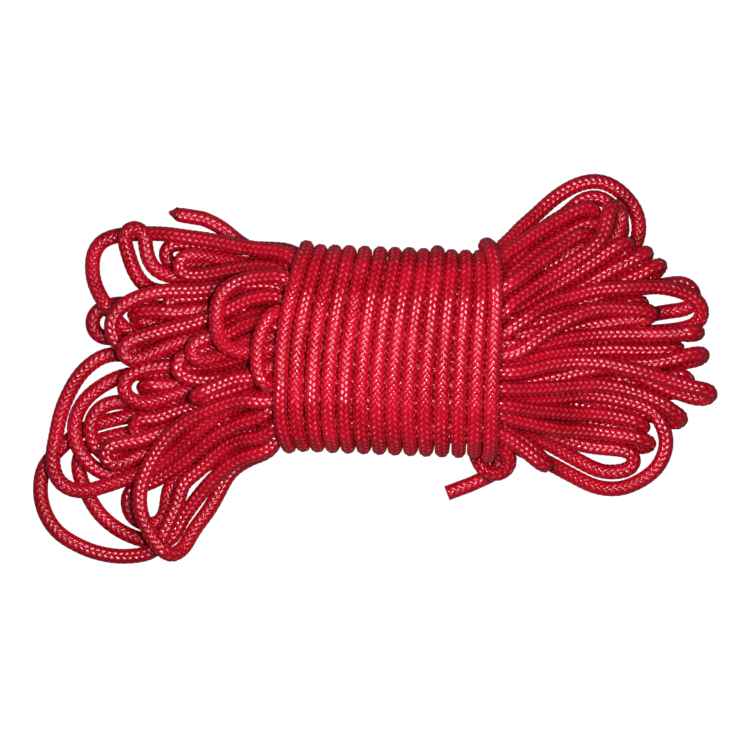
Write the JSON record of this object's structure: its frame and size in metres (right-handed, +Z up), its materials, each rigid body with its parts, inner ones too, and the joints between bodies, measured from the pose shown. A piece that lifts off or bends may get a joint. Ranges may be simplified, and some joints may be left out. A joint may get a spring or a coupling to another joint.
{
  "type": "coiled dock line",
  "caption": "Braided dock line flaked into a flat hank, frapped round the waist with close turns, with loop bights fanned at both ends and two free tails.",
  "frame": {"origin": "on the floor plane, under the middle of the coil as it lies", "axes": "+X along the hank towards the end with the finishing hitch, +Y across the hank towards the sealed tail, +Z up"},
  "size_m": [0.3438, 0.1958, 0.0635],
  "materials": {
    "braided_cover": "glossy herringbone braid",
    "core_yarn": "cut yarn ends",
    "sealed_end": "heat melted"
  },
  "bodies": {
    "hank": {"finishing_hitch": "braided_cover", "left_bight_01_legs": "braided_cover", "left_bight_02": "braided_cover", "left_bight_04": "braided_cover", "left_bight_05": "braided_cover", "left_bight_07": "braided_cover", "left_bight_08": "braided_cover", "left_bight_09": "braided_cover", "left_bight_10": "braided_cover", "left_bight_11": "braided_cover", "left_bight_15": "braided_cover", "left_bight_21": "braided_cover", "left_bight_22": "braided_cover", "left_bight_23_legs": "braided_cover", "left_bight_24": "braided_cover", "left_inner_bights": "braided_cover", "left_loop_12_legs": "braided_cover", "left_lower_bights": "braided_cover", "right_bight_01": "braided_cover", "right_bight_02": "braided_cover", "right_bight_03": "braided_cover", "right_bight_04": "braided_cover", "right_bight_05": "braided_cover", "right_bight_06": "braided_cover", "right_bight_11": "braided_cover", "right_bight_13": "braided_cover", "right_bight_14": "braided_cover", "right_bight_18": "braided_cover", "right_bight_19": "braided_cover", "right_inner_bights": "braided_cover", "right_lower_bights": "braided_cover", "right_ring_20_legs": "braided_cover", "right_ring_24": "braided_cover", "right_stacked_bights": "braided_cover", "start_turn": "braided_cover", "tail_1_root": "braided_cover", "wrap_turn_01": "braided_cover", "wrap_turn_02": "braided_cover", "wrap_turn_03": "braided_cover", "wrap_turn_04": "braided_cover", "wrap_turn_05": "braided_cover", "wrap_turn_06": "braided_cover", "wrap_turn_07": "braided_cover", "wrap_turn_08": "braided_cover", "wrap_turn_09": "braided_cover", "wrap_turn_10": "braided_cover", "wrap_turn_11": "braided_cover", "wrap_turn_12": "braided_cover", "wrap_turn_13": "braided_cover", "wrap_turn_14": "braided_cover"},
    "left_bight_01_outer": {"left_bight_01_outer": "braided_cover"},
    "left_loop_12_outer": {"left_loop_12_outer": "braided_cover"},
    "left_bight_23_outer": {"left_bight_23_outer": "braided_cover"},
    "right_ring_20_outer": {"right_ring_20_outer": "braided_cover"},
    "tail_1_mid": {"tail_1_mid": "braided_cover"},
    "tail_1_tip": {"tail_1_tip": "braided_cover", "tail_1_sealed_end": "sealed_end"},
    "tail_2_mid": {"tail_2_mid": "braided_cover"},
    "tail_2_tip": {"tail_2_tip": "braided_cover", "tail_2_core": "core_yarn"}
  },
  "joints": [
    {"name": "left_bight_01_lift", "type": "hinge", "parent": "hank", "child": "left_bight_01_outer", "pos_m": [-0.13431, 0.05459, 0.00702], "axis": [0.4251, 0.8864, -0.1832], "range_deg": [0, 22]},
    {"name": "left_loop_12_lift", "type": "hinge", "parent": "hank", "child": "left_loop_12_outer", "pos_m": [-0.06268, 0.02685, 0.04507], "axis": [0.0454, 0.9939, -0.1005], "range_deg": [0, 30]},
    {"name": "left_bight_23_lift", "type": "hinge", "parent": "hank", "child": "left_bight_23_outer", "pos_m": [-0.14261, -0.0758, 0.00661], "axis": [-0.8211, 0.5632, -0.0926], "range_deg": [0, 22]},
    {"name": "right_ring_20_lift", "type": "hinge", "parent": "hank", "child": "right_ring_20_outer", "pos_m": [0.12208, -0.04367, 0.00821], "axis": [-0.9299, -0.3603, -0.0738], "range_deg": [0, 22]},
    {"name": "tail_1_swing", "type": "hinge", "parent": "hank", "child": "tail_1_mid", "pos_m": [-0.07394, 0.06842, 0.00451], "axis": [0, 0, 1], "range_deg": [-25, 6]},
    {"name": "tail_1_lift", "type": "hinge", "parent": "tail_1_mid", "child": "tail_1_tip", "pos_m": [-0.08448, 0.07476, 0.00392], "axis": [0.1933, 0.9811, 0], "range_deg": [0, 30]},
    {"name": "tail_2_swing", "type": "hinge", "parent": "hank", "child": "tail_2_mid", "pos_m": [0.06106, -0.05076, 0.00368], "axis": [0, 0, 1], "range_deg": [-15, 15]},
    {"name": "tail_2_lift", "type": "hinge", "parent": "tail_2_mid", "child": "tail_2_tip", "pos_m": [0.05279, -0.05611, 0.00368], "axis": [-0.3683, 0.9297, 0], "range_deg": [0, 30]}
  ]
}
